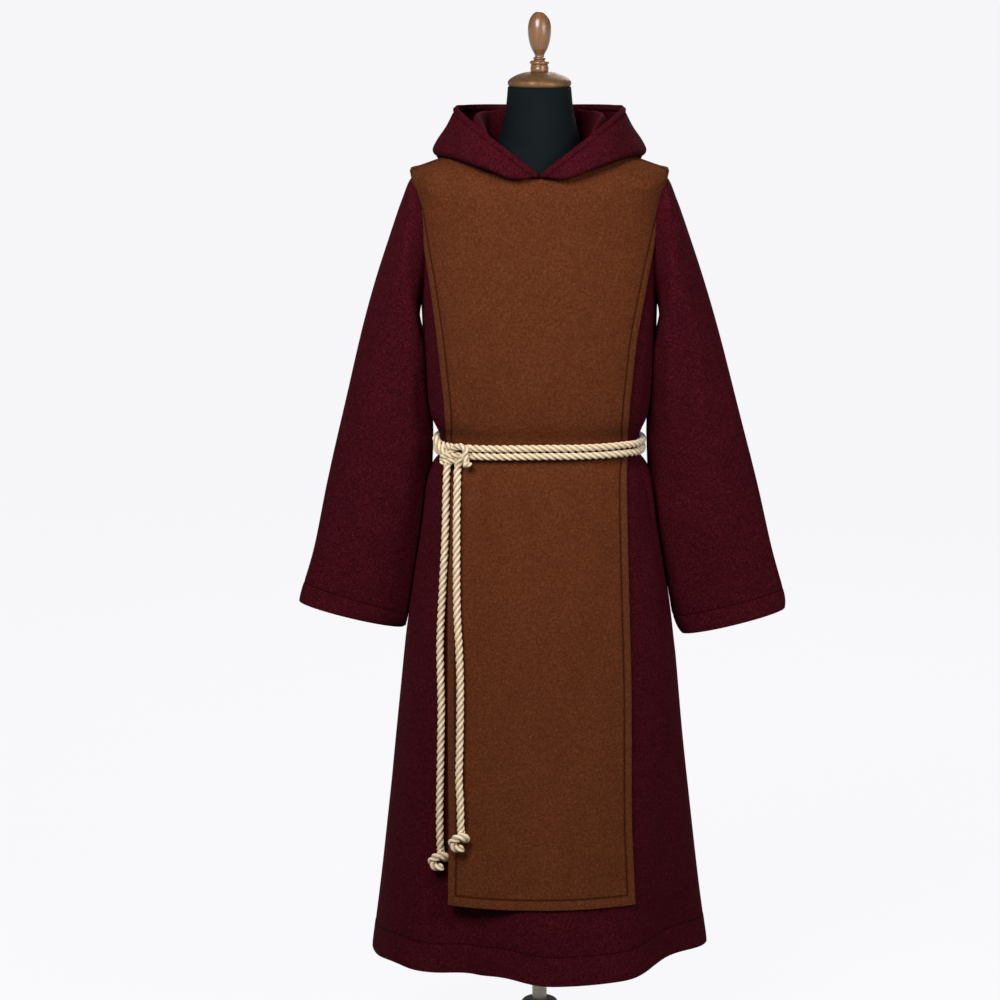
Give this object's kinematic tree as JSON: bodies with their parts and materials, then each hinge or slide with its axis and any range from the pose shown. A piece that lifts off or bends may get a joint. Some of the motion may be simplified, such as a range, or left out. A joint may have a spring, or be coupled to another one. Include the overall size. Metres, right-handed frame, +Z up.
{
  "type": "monk habit on a dress form",
  "caption": "Hooded wool monk's habit with straight sleeves, a scapular front and back, and a knotted rope belt, worn on a limbless dress form with a turned finial on a pole and round base.",
  "frame": {"origin": "centre of the base's underside, on the floor", "axes": "+Z up; -Y is the front, where the hood opens and the belt is knotted; +X is the wearer's left"},
  "size_m": [0.855, 0.5091, 1.833],
  "materials": {
    "wool_robe": "burgundy heavy felted wool, matt",
    "wool_scapular": "brown heavy felted wool, matt",
    "belt_rope": "cream three-strand twisted cotton rope",
    "form_cover": "black cotton jersey cover, matt",
    "cap_bronze": "antique bronze, satin",
    "finial_wood": "turned and varnished brown wood",
    "stand_metal": "warm grey painted steel, satin"
  },
  "bodies": {
    "root": {"robe_front": "wool_robe", "robe_back": "wool_robe", "sleeve_left": "wool_robe", "sleeve_right": "wool_robe", "hood_left": "wool_robe", "hood_right": "wool_robe", "scapular_front": "wool_scapular", "scapular_back": "wool_scapular", "belt_rope_upper": "belt_rope", "belt_rope_lower": "belt_rope", "belt_knot": "belt_rope", "tail_right": "belt_rope", "tail_left": "belt_rope", "tail_right_knot": "belt_rope", "tail_left_knot": "belt_rope", "form_torso": "form_cover", "form_cap": "cap_bronze", "form_finial": "finial_wood", "stand_pole": "stand_metal", "stand_base": "stand_metal"}
  },
  "joints": []
}
